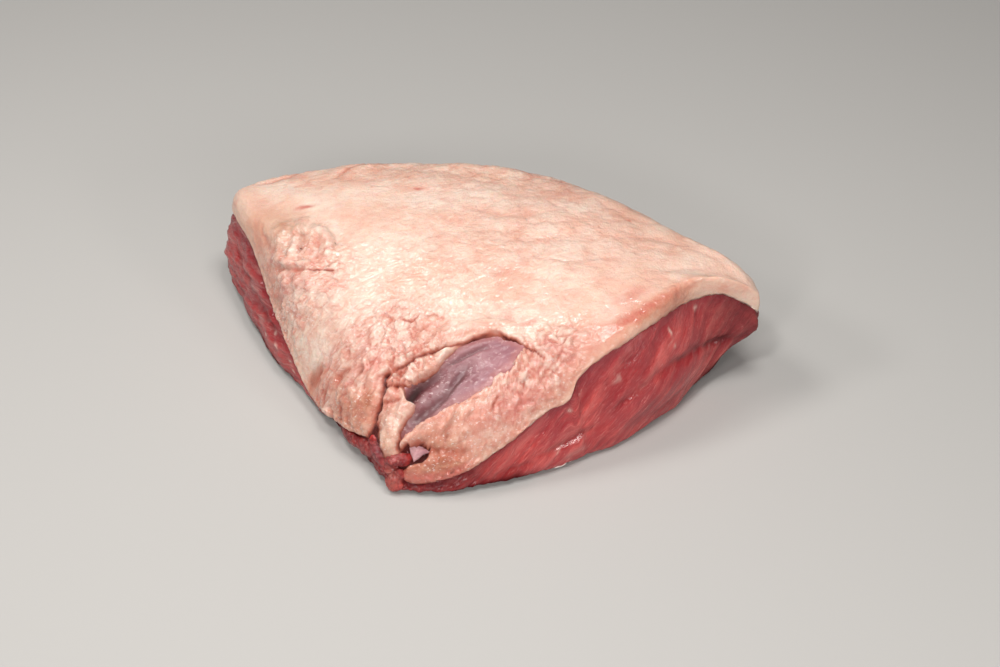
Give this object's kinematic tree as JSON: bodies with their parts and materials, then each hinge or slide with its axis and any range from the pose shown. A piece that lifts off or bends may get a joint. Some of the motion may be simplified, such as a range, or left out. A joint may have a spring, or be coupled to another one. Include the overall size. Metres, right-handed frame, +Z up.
{
  "type": "raw picanha",
  "caption": "Whole raw rump cap of beef: a flat-bottomed muscle under a thick, rounded fat cap, with a window near the tip where the muscle's membrane shows.",
  "frame": {"origin": "centre of the bounding box in plan, at the level of the flat sole it lies on", "axes": "+Z up; +X along the length, towards the blunt end with the thickest muscle; -Y towards the long cut side and the tip"},
  "size_m": [0.255, 0.1808, 0.069],
  "materials": {
    "beef_fat": "cream to pale pink raw fat, moist, with fine glistening grain, pink flushes and small folds",
    "beef_lean": "deep pink-red raw muscle, moist, with fine fibres along its length and a purple-grey membrane where the fat is open"
  },
  "bodies": {
    "root": {"fat_cap": "beef_fat", "lean_muscle": "beef_lean"}
  },
  "joints": []
}
